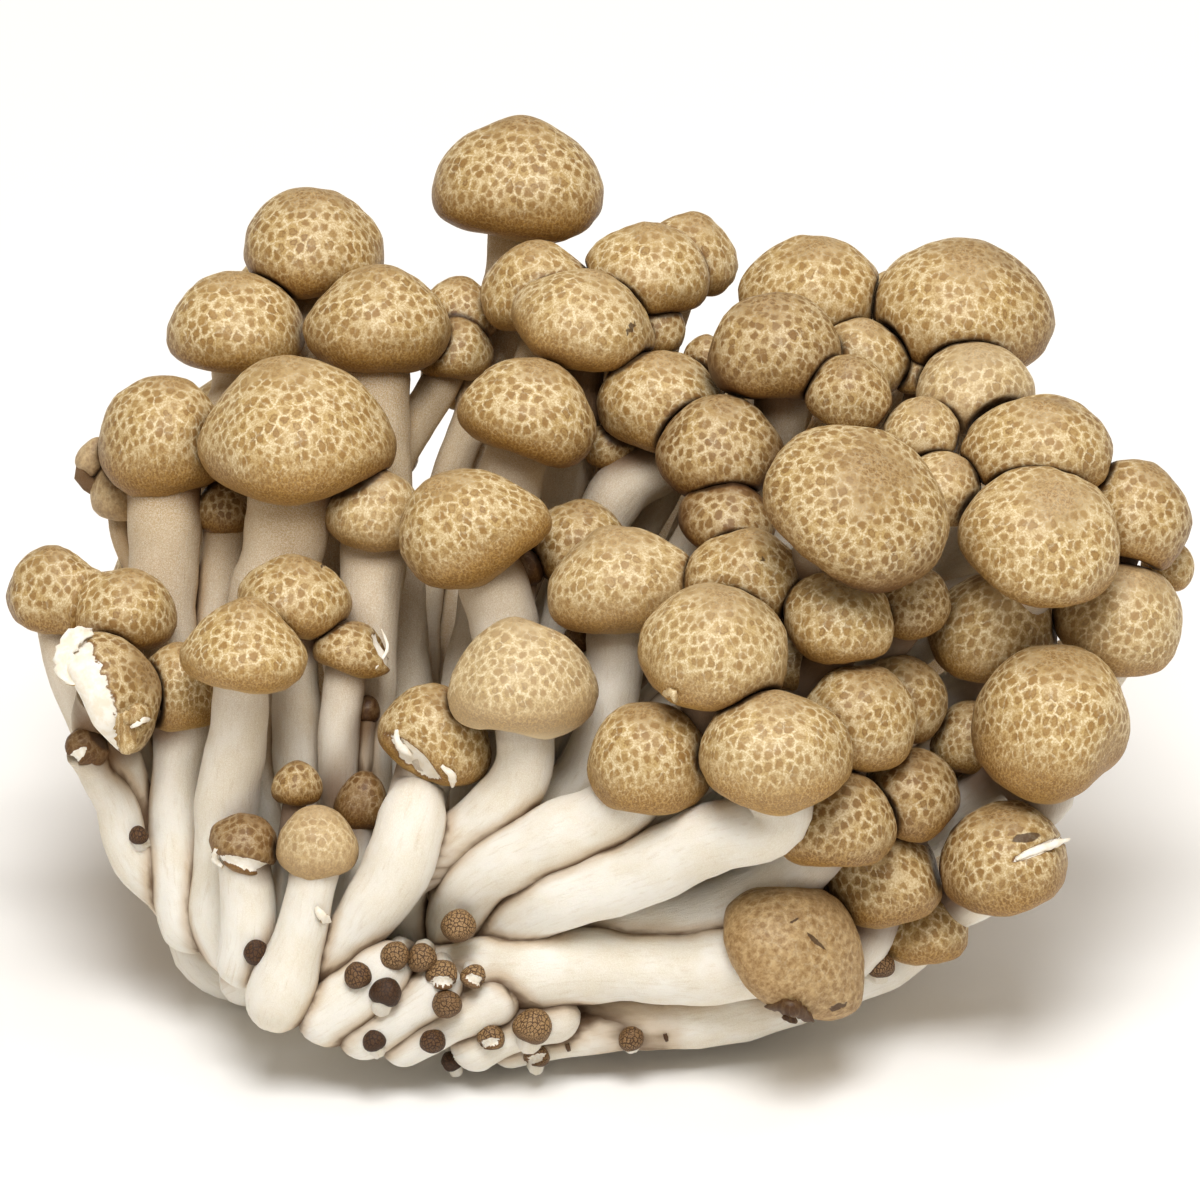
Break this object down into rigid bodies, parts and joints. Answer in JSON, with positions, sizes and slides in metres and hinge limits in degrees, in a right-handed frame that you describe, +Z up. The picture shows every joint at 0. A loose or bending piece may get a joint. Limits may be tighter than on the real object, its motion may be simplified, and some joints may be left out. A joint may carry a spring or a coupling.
{
  "type": "beech mushroom cluster",
  "caption": "Picked clump of brown beech mushrooms: speckled bun-shaped caps on pale stems that grow together in one flat cut foot",
  "frame": {"origin": "centre of the flat cut foot that the clump stands on", "axes": "+Z up from the cut foot, +X towards the side where the clump spreads furthest, +Y away from the showing side; modelled in millimetres, stored in metres"},
  "size_m": [0.1176, 0.0933, 0.0719],
  "materials": {
    "stem": null,
    "cap": null
  },
  "bodies": {
    "root": {"stem_clump": "stem", "cap_a": "cap", "cap_b": "cap", "cap_c": "cap", "cap_d": "cap", "cap_e": "cap", "cap_f": "cap", "cap_i": "cap", "cap_j": "cap", "cap_k": "cap", "cap_l": "cap", "cap_ac": "cap", "cap_ad": "cap", "cap_ae": "cap", "cap_m": "cap", "cap_n": "cap", "cap_o": "cap", "cap_p": "cap", "cap_q": "cap", "cap_r": "cap", "cap_t": "cap", "cap_u": "cap", "cap_v": "cap", "cap_w": "cap", "cap_x": "cap", "cap_y": "cap", "cap_z": "cap", "cap_aa": "cap", "cap_ab": "cap", "cap_ak": "cap", "cap_am": "cap", "cap_af": "cap", "cap_ag": "cap", "cap_ah": "cap", "cap_aj": "cap", "cap_ay": "cap", "cap_az": "cap", "cap_aw": "cap", "cap_ax": "cap", "cap_al": "cap", "cap_an": "cap", "cap_ao": "cap", "cap_ap": "cap", "cap_aq": "cap", "cap_as": "cap", "cap_at": "cap", "cap_au": "cap", "cap_av": "cap", "cap_ba": "cap", "cap_bb": "cap", "cap_bc": "cap", "cap_bd": "cap", "cap_bf": "cap", "cap_bh": "cap", "cap_bo": "cap", "cap_bp": "cap"}
  },
  "joints": []
}
